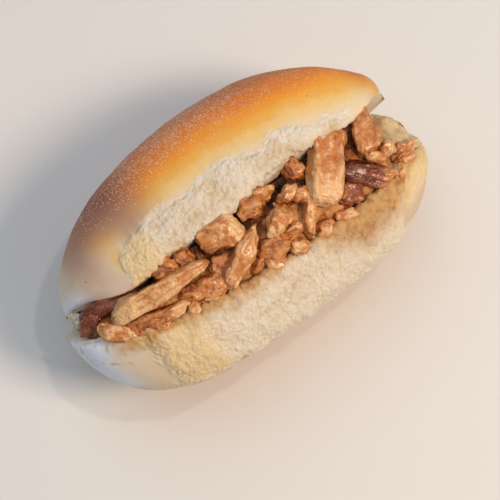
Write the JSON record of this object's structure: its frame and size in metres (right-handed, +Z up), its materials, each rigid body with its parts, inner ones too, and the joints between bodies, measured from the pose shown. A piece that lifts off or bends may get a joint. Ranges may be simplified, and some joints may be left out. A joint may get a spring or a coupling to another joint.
{
  "type": "chicken sandwich",
  "caption": "Soft oblong bread roll with a torn side, slit and hinged open, filled along its length with strips and chunks of sauced chicken; it lies on its hinge side with the mouth up.",
  "frame": {"origin": "middle of the roll's footprint on the surface that it rests on", "axes": "+X along the roll, -Y to the front where the base half leans, +Y to the crown, +Z up"},
  "size_m": [0.1636, 0.0992, 0.0797],
  "materials": {
    "bread": "matte",
    "sauced_chicken": "glossy"
  },
  "bodies": {
    "root": {"bread_roll": "bread", "chicken_heap": "sauced_chicken", "strip_long": "sauced_chicken", "strip_under_lip": "sauced_chicken", "strip_low_left": "sauced_chicken", "chunk_lip_left": "sauced_chicken", "chunk_faceted": "sauced_chicken", "strip_diagonal": "sauced_chicken", "chunk_round": "sauced_chicken", "chunk_folded": "sauced_chicken", "chunk_lower": "sauced_chicken", "strip_flat": "sauced_chicken", "strip_thin": "sauced_chicken", "slab_upright": "sauced_chicken", "slab_right": "sauced_chicken", "roller": "sauced_chicken", "chunk_shade": "sauced_chicken", "chunk_right_end": "sauced_chicken"}
  },
  "joints": []
}
